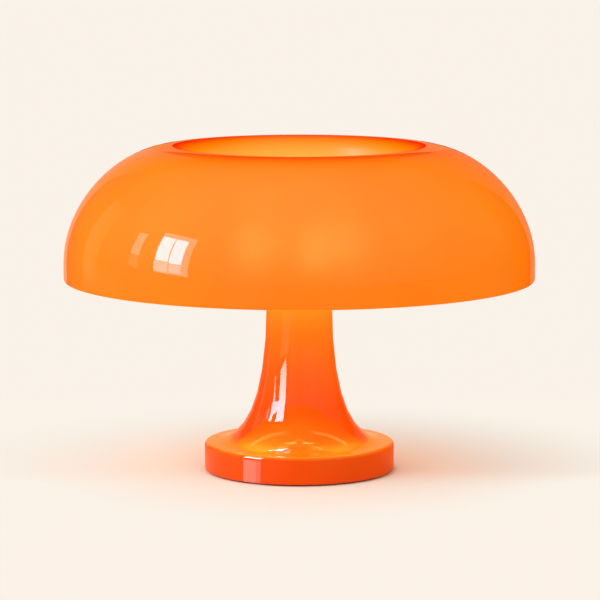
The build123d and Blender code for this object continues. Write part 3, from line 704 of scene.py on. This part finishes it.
plain_finishes = {
    "white_enamel": ((244, 241, 233), (236, 232, 222), 0.32, 700, 0.02, 0.0, 0.4),
    "black_powder_coat": ((46, 46, 48), (34, 34, 36), 0.55, 1600, 0.04),
    "cast_iron": ((74, 74, 78), (52, 52, 56), 0.65, 700, 0.12, 0.6),
    "zinc_steel": ((206, 208, 212), (182, 186, 192), 0.3, 900, 0.02, 1.0),
    "drawn_brass": ((222, 184, 104), (200, 158, 80), 0.28, 900, 0.02, 1.0),
    "steatite_ceramic": ((240, 236, 226), (228, 222, 208), 0.5, 1200, 0.03),
    "black_rubber": ((38, 38, 38), (28, 28, 28), 0.75, 1400, 0.04),
    "milky_silicone": ((232, 226, 214), (222, 214, 200), 0.55, 900, 0.02),
    "black_plastic": ((40, 40, 42), (30, 30, 32), 0.45, 1300, 0.03),
    "white_plastic": ((242, 240, 234), (232, 229, 220), 0.42, 1300, 0.02),
    "circuit_board": ((246, 240, 214), (238, 226, 180), 0.4, 800, 0.02),
    "pin_steel": ((214, 214, 210), (196, 196, 192), 0.22, 2400, 0.01, 1.0),
    "brown_insulation": ((104, 58, 34), (88, 46, 26), 0.4, 1500, 0.02),
    "blue_insulation": ((40, 84, 160), (30, 68, 138), 0.4, 1500, 0.02),
}
finishes = {name: plain(name, *values) for name, values in plain_finishes.items()}
finishes["bowl_orange"] = bowl_orange
finishes["frosted_envelope"] = envelope_finish
print("finishes:", len(finishes))

# %% Give every node its finish
LAMPS = range(1, 5)

nodes_of = {
    "cast_iron": ["ballast"],
    "black_powder_coat": ["base_plate"],
    "white_enamel": ["lamp_dish", "column"],
    "black_rubber": ["foot_ring", "cord_grommet"],
    "milky_silicone": ["seat_ring", "cap_washer"],
    "black_plastic": ["cord_clamp_seat", "cord_clamp_bar"],
    "drawn_brass": ["terminal_barrels", "holder_contacts", "cap_insert"],
    "brown_insulation": ["lead_live", "jumpers_live"],
    "blue_insulation": ["lead_neutral", "jumpers_neutral"],
    "bowl_orange": ["cap_nut"],
    "zinc_steel": ["base_plate_screws", "cord_clamp_screws", "terminal_screws", "lampholder_screws",
                   "centre_tube", "lower_nut", "lower_washer", "upper_washer", "upper_nut",
                   "column_nut"],
    "white_plastic": ["terminal_block"] + [f"lamp_{number}_base" for number in LAMPS],
    "steatite_ceramic": [f"lampholder_{number}" for number in LAMPS],
    "frosted_envelope": [f"lamp_{number}_envelope" for number in LAMPS],
    "circuit_board": [f"lamp_{number}_board" for number in LAMPS],
    "pin_steel": [f"lamp_{number}_pins" for number in LAMPS],
}
for name, nodes in nodes_of.items():
    for node in nodes:
        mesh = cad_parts[node].data
        mesh.materials.clear()
        mesh.materials.append(finishes[name])
print("nodes with a finish:", sum(len(nodes) for nodes in nodes_of.values()))

# %% [markdown]
# ## Floor and backdrop
# The lamp stands on a pale table that runs on without an edge. Near the lamp the floor is partly a
# real surface, which takes the lamp's shadow and the warm light that falls from the shade. Further
# out it fades into one even tone. Glossy rays see it darker, and darkest close to the foot,
# because the gloss of the lamp mirrors the shaded part of the room in front of it. Behind the lamp
# glossy rays also see a painted warm pool, painted light of the shade's orange glow on the table.
# The even tone starts just outside the foot, so the gap under the band stays dark.

# %% Ways of rays
def ray_kind(tree, name):
    """Value that is 1 for rays of one kind, such as Is Camera Ray."""
    node = tree.nodes.new("ShaderNodeLightPath")
    return Wire(tree, node.outputs[name])


print("ray helper ready")

# %% Floor
TABLE_NEAR = srgb(252, 242, 231)
TABLE_FAR = srgb(250, 242, 232)
TABLE_LIT = srgb(233, 237, 231)
FOOT_EDGE = (0.0650, 0.069)
SHADOW_REACH = (0.03, 0.27)
FRONT_REACH = (0.0, 0.07)
CIRCLE_SIDES = 96
TABLE_RADIUS = 30


def floor_finish():
    """Pale table: lit near the lamp, an even tone further out, and darker for the gloss."""
    table = Finish("pale_table", Base_Color=TABLE_LIT, Roughness=0.8, Specular_IOR_Level=0.0)
    tree = table.tree
    x, y, _ = table.axes()
    distance = (x * x + y * y) ** 0.5
    grain = table.noise(300.0, detail=3.0)
    table.set(Normal=table.bump(grain, 0.01 * MM))
    in_front = (y * -1).smooth(*FRONT_REACH, 0.0, 0.3)
    even_share = (distance.smooth(*SHADOW_REACH, 0.14, 1.0) + in_front).clamped()
    even_share = even_share * distance.smooth(*FOOT_EDGE)
    tone = y.smooth(-0.3, 0.5).mix(TABLE_NEAR, TABLE_FAR)
    seen = blend_shaders(tree, even_share, table.shader.outputs[0], shining(tree, tone))
    aside = x / (distance + 0.001)
    behind = (1.15 - y / (distance + 0.001)).clamped()
    middle = (aside * aside * 7).clamped() * 0.5 + 0.5
    level = aside.smooth(-0.7, 0.9, 0.3, 0.1) * behind * middle
    close = distance.smooth(0.2, 0.7, 1.0, 0.0) * y.smooth(-0.04, 0.04)
    # Close behind the lamp glossy rays see a painted warm pool: painted light of the shade's orange
    # glow on the table.
    warm = (close * aside.smooth(-0.3, 0.3, 1.0, 0.9)).tinted((0.9, 0.15, 0.03))
    mirrored = level.tinted((1.0, 0.95, 0.7)).plus(warm)
    surface = blend_shaders(tree, ray_kind(tree, "Is Glossy Ray"), seen, shining(tree, mirrored))
    tree.links.new(surface, table.output.inputs["Surface"])
    return table.material


bpy.ops.object.select_all(action="DESELECT")
bpy.ops.mesh.primitive_circle_add(vertices=CIRCLE_SIDES, radius=TABLE_RADIUS, fill_type="NGON",
                                  location=(0, 0, 0))
floor = bpy.context.object
floor.name = "table_top"
floor.data.materials.append(floor_finish())
print("floor", 2 * TABLE_RADIUS, "m across")

# %% [markdown]
# ## The room
# The camera would see a plain pale wall beyond the floor. The lamp is lit by an even, slightly
# warm room. For the gloss the room is paler above than near the floor, paler at the left than at
# the right, and dark at the back, which is how the studio looks from the place of the lamp.
# Straight behind the lamp it is deep red, like the light along the edge of the shade, so the
# outline stays orange.

# %% World
ROOM_LIGHT = 0.62
ROOM_LOW = 0.27
ROOM_RISE = 0.28

world = bpy.data.worlds.new("pale_room")
bpy.context.scene.world = world
world.use_nodes = True
room = world.node_tree
diffuse_room = room.nodes["Background"]
diffuse_room.inputs["Color"].default_value = srgb(252, 247, 240)
diffuse_room.inputs["Strength"].default_value = ROOM_LIGHT
coordinates = room.nodes.new("ShaderNodeTexCoord")
toward = Wire(room, coordinates.outputs["Generated"])
split = toward.node("ShaderNodeSeparateXYZ", {}, {0: toward})
to_right, to_back, upward = [Wire(room, split.socket.node.outputs[axis]) for axis in range(3)]
room_height = upward * ROOM_RISE + ROOM_LOW
room_back = (1 - to_back * 1.2).clamped()
room_side = (to_right * 0.8 + to_back * 0.6).smooth(-0.3, 1.0, 1.0, 0.45)
room_level = room_height * room_back * room_side


def wall(colour):
    """Background shader whose colour may be a link."""
    made = room.nodes.new("ShaderNodeBackground")
    if isinstance(colour, Wire):
        room.links.new(colour.socket, made.inputs["Color"])
    else:
        made.inputs["Color"].default_value = colour
    return made.outputs[0]


room_middle = (to_right * to_right * 7 + upward).clamped() * 0.5 + 0.5
red_back = to_back.smooth(0.2, 0.8).tinted((0.6, 0.03, 0.0))
mirrored_room = wall((room_level * room_middle).tinted((1.0, 0.97, 0.95)).plus(red_back))
seen_wall = wall(srgb(248, 240, 230))
lit = blend_shaders(room, ray_kind(room, "Is Glossy Ray"), diffuse_room.outputs[0], mirrored_room)
whole = blend_shaders(room, ray_kind(room, "Is Camera Ray"), lit, seen_wall)
room.links.new(whole, room.nodes["World Output"].inputs["Surface"])
bpy.context.scene.view_settings.view_transform = "Standard"
print("room light", ROOM_LIGHT)

# %% [markdown]
# ## The lamp that lights the studio
# One large soft light stands to the left of the camera, so the left of the lamp is a little paler
# and its shadow falls to the right and behind. It isn't mirrored: the shapes in the gloss come
# from cards.

# %% Soft key light
KEY_PLACE = Vector((-1.3, -1.1, 1.5))
KEY_AIM = Vector((0, 0, 0.1))
KEY_SIZE = 1.2
KEY_POWER = 22

bpy.ops.object.select_all(action="DESELECT")
bpy.ops.object.light_add(type="AREA", location=KEY_PLACE)
key = bpy.context.object
key.name = "soft_key"
key.data.shape = "DISK"
key.data.size = KEY_SIZE
key.data.energy = KEY_POWER
key.rotation_euler = (KEY_AIM - KEY_PLACE).to_track_quat("-Z", "Y").to_euler()
key.visible_glossy = False
key.visible_camera = False
print("key light", key.data.energy, "W")

# %% [markdown]
# ## Cards for the gloss
# The gloss mirrors a window with a bar across it and a narrow one beside it, walls behind the lamp
# with darker screens beside them, and thin lights by the stem. Cards stand for these: they are
# seen by glossy surfaces alone, so they draw their shapes on the plastic and add no light to the
# room. The direction of each corner was worked out from where it shows on the plastic.

# %% Card helpers
def direction(azimuth, elevation):
    """Unit vector: azimuth 0 towards the camera, positive towards +X, elevation above the floor."""
    along, up = radians(azimuth), radians(elevation)
    return Vector((cos(up) * sin(along), -cos(up) * cos(along), sin(up)))


def aimed(eye, distance, corners):
    """Points in mm at a distance from a point on the lamp, each in a direction."""
    return [Vector(eye) + direction(*corner) * distance for corner in corners]


def glossy_only(made):
    """Let only glossy rays see a card."""
    made.visible_camera = False
    made.visible_diffuse = False
    made.visible_transmission = False
    made.visible_shadow = False


def card_shine(name):
    """Empty material for a card and the coordinates of its surface."""
    shine = bpy.data.materials.new(name)
    shine.use_nodes = True
    tree = shine.node_tree
    tree.nodes.clear()
    coordinates = tree.nodes.new("ShaderNodeTexCoord")
    return shine, Wire(tree, coordinates.outputs["Object"])


def card(name, corners, light, light_above=None):
    """Four-sided card in mm; light is its linear colour, which may change towards its top."""
    bpy.ops.object.select_all(action="DESELECT")
    bpy.ops.mesh.primitive_plane_add()
    made = bpy.context.object
    made.name = name
    order = (corners[0], corners[1], corners[3], corners[2])
    for vertex, corner in zip(made.data.vertices, order):
        vertex.co = Vector(corner) * MM
    shine, place = card_shine(name)
    heights = [corner[2] * MM for corner in corners]
    z = Wire(place.tree, place.node("ShaderNodeSeparateXYZ", {}, {0: place}).socket.node.outputs[2])
    share = z.smooth(min(heights), max(heights) + 0.1 * MM)
    colour = share.mix((*light, 1.0), (*(light_above or light), 1.0))
    end = place.tree.nodes.new("ShaderNodeOutputMaterial")
    place.tree.links.new(shining(place.tree, colour), end.inputs["Surface"])
    made.data.materials.append(shine)
    glossy_only(made)


def inside(corners, left, right, low, high):
    """Smaller four-sided piece of a card: shares across and up, from its lower left corner."""
    lower_left, lower_right, upper_right, upper_left = corners

    def point(across, up):
        lower = lower_left.lerp(lower_right, across)
        upper = upper_left.lerp(upper_right, across)
        return lower.lerp(upper, up)

    return [point(left, low), point(right, low), point(right, high), point(left, high)]


print("card helpers ready")

# %% Windows mirrored in the shade
SHADE_LEFT = (-82, -133, 165)
WINDOW = [(-74.3, 4.8), (-54.0, 3.1), (-57.6, 37.0), (-81.2, 35.6)]
SIDE_WINDOW = [(-91.3, 5.8), (-84.8, 5.1), (-90.2, 30.0), (-96.0, 28.7)]
panes = [
    ("window_frame", WINDOW, 0.0, 1.0, 0.0, 1.0, (5.0, 3.6, 3.6), 1500),
    ("window_low_left", WINDOW, 0.0, 0.42, 0.03, 0.30, (8.5, 7.0, 7.6), 1490),
    ("window_low_right", WINDOW, 0.45, 0.80, 0.05, 0.28, (8.5, 7.4, 8.2), 1490),
    ("window_pane_left", WINDOW, 0.03, 0.41, 0.32, 0.90, (16.0, 15.0, 19.0), 1480),
    ("window_pane_right", WINDOW, 0.44, 0.80, 0.30, 0.90, (16.0, 15.3, 20.0), 1480),
    ("side_window", SIDE_WINDOW, 0.0, 1.0, 0.0, 0.38, (1.4, 1.1, 0.9), 1500),
    ("side_window_top", SIDE_WINDOW, 0.0, 1.0, 0.38, 1.0, (3.6, 3.1, 2.9), 1500),
]
for name, corners, left, right, low, high, light, distance in panes:
    card(name, inside(aimed(SHADE_LEFT, distance, corners), left, right, low, high), light)
card("left_strip",
     aimed((-138, -76, 160), 700, [(-127.5, -9), (-114, -9), (-118, 33), (-136, 30)]),
     (0.5, 0.42, 0.24))
print("windows placed")

# %% Walls mirrored at the edges of the shade
card("back_wall_left",
     aimed((-158, 10, 175), 800, [(-179, -12), (-155, -12), (-158, 44), (-179, 36)]),
     (1.0, 0.46, 0.32), (1.0, 0.05, 0.02))
card("back_wall_right",
     aimed((158, 10, 175), 800, [(146, -12), (179, -12), (179, 36), (150, 46)]),
     (1.0, 0.24, 0.13), (1.0, 0.05, 0.03))
card("crest_wall", [(-300, 800, 230), (300, 800, 230), (300, 800, 400), (-300, 800, 400)],
     (1.1, 0.30, 0.10))
card("back_wall_low", [(-125, 250, 0.5), (125, 250, 0.5), (125, 250, 205), (-125, 250, 205)],
     (1.0, 0.55, 0.28), (1.0, 0.55, 0.13))
card("dark_screen_left",
     aimed((-148, -45, 160), 820, [(-156, -12), (-128, -12), (-136, 34), (-162, 34)]),
     (0.8, 0.06, 0.06))
card("dark_screen_right",
     aimed((147, -30, 165), 820, [(123, -11), (152, -11), (160, 34), (128, 30)]),
     (0.8, 0.03, 0.0))
print("walls placed")

# %% [markdown]
# The stem shows two thin, pointed lights, and the band a broad one. Their cards stand close to the
# stem, where nothing else mirrors them. Two plain screens further out hide the window, so it isn't
# mirrored a second time.

# %% Lights mirrored in the pedestal
card("stem_light",
     [(-19.4, -31.9, 40.1), (-13.1, -34.6, 41.2), (-11.4, -25.3, 80.6), (-16.0, -23.8, 71.5)],
     (17.0, 18.0, 20.0), (12.0, 10.0, 9.0))
card("stem_light_thin",
     [(-24.2, -28.0, 39.9), (-22.2, -29.8, 39.9), (-19.5, -21.6, 67.9), (-20.2, -20.8, 67.8)],
     (16.0, 17.0, 18.0), (6.0, 5.0, 3.0))
card("stem_streak",
     [(-16.7, -21.9, 79.9), (-10.0, -25.7, 83.7), (-7.5, -25.2, 110.9), (-14.4, -21.5, 110.6)],
     (1.2, 1.2, 0.55), (1.0, 0.5, 0.3))
SCREEN_REACH, SCREEN_LOW = 230, 27
SCREEN_HEIGHT = Vector((0, 0, 93))
for name, start, end in (("stem_screen_left", -104, -66), ("stem_screen_right", -66, -28)):
    lower = aimed((0, 0, SCREEN_LOW), SCREEN_REACH, [(start, 0), (end, 0)])
    upper = [corner + SCREEN_HEIGHT for corner in reversed(lower)]
    card(name, lower + upper, (0.16, 0.14, 0.10))
card("band_light", [(-38, -53, 0.4), (-29.6, -58.1, 0.4), (-110, -116, 0.4), (-132.6, -85.1, 0.4)],
     (3.4, 3.5, 3.3))
card("band_light_thin",
     [(-29.6, -58.1, 0.4), (-26.5, -59.6, 0.4), (-99.6, -127.3, 0.4), (-110, -116, 0.4)],
     (2.4, 2.2, 2.2))
card("band_edge_light", aimed((-32, -56, 19), 60, [(-76, 6), (-41, 6), (-41, 38), (-76, 38)]),
     (25.0, 23.0, 25.0))
print("pedestal lights placed")

# %% [markdown]
# The inside of the shade is the brightest thing that the foot mirrors: a yellow disc with paler
# rings, which are the edge of the dish and the roll of the moulding. A disc under the dish stands
# for it. Its light falls off outwards and is stronger at the left, as in the shade itself.

# %% The lit inside, as the foot mirrors it
DISC_RADIUS = 158 * MM
DISC_HEIGHT = 113.5 * MM
ROLL_RING = (86, 6.0)
DISH_RING = (45, 4.5)
COLUMN_RING = (31, 3.0)
FINE_OVAL = (54, 1.5)


def ring(radius, middle, half):
    """Value that is 1 on a ring with soft edges and 0 elsewhere; lengths in mm."""
    return (radius - middle * MM).absolute().smooth(half * MM * 0.7, half * MM * 1.2, 1.0, 0.0)


def lit_inside():
    """Emission of the disc: yellow, with broken rings of paler light and a fine oval."""
    shine, place = card_shine("lit_inside")
    parts = place.node("ShaderNodeSeparateXYZ", {}, {0: place}).socket.node.outputs
    x, y = Wire(place.tree, parts[0]), Wire(place.tree, parts[1])
    radius = (x * x + y * y) ** 0.5
    aside, ahead = x / radius, y / radius
    fall = radius.smooth(0.060, 0.150, 2.1, 0.6) * aside.smooth(-1.0, 1.0, 1.25, 0.75)
    outer = ring(radius, *ROLL_RING) * ahead.smooth(-0.97, -0.75) * ahead.smooth(0.3, 0.6, 1.0, 0.0)
    vents = ring(radius, *DISH_RING) * ahead.smooth(-0.5, -0.3, 1.0, 0.0)
    vents = vents * ring(aside * MM, 0.0, 0.62) * (1 - ring(aside * MM, 0.0, 0.16))
    sides = ring(radius, *COLUMN_RING) * ring(ahead * MM, 0.0, 0.75)
    oval = ((x * x) * 5.5 + (y + 0.003) ** 2.0) ** 0.5
    fine = ring(oval, *FINE_OVAL)
    yellow = fall.tinted((0.95, 1.0, 0.07))
    pale = (outer * 2.2 + vents * 6.0 + sides * 2.2 + fine * 2.2).tinted((1.0, 1.0, 0.25))
    end = place.tree.nodes.new("ShaderNodeOutputMaterial")
    place.tree.links.new(shining(place.tree, yellow.plus(pale)), end.inputs["Surface"])
    return shine


bpy.ops.object.select_all(action="DESELECT")
bpy.ops.mesh.primitive_circle_add(vertices=CIRCLE_SIDES, radius=DISC_RADIUS, fill_type="NGON",
                                  location=(0, 0, 0))
disc = bpy.context.object
disc.name = "lit_inside"
for vertex in disc.data.vertices:
    vertex.co.z = DISC_HEIGHT
disc.data.materials.append(lit_inside())
glossy_only(disc)
print(f"disc of {DISC_RADIUS / MM:.0f} mm under the dish")
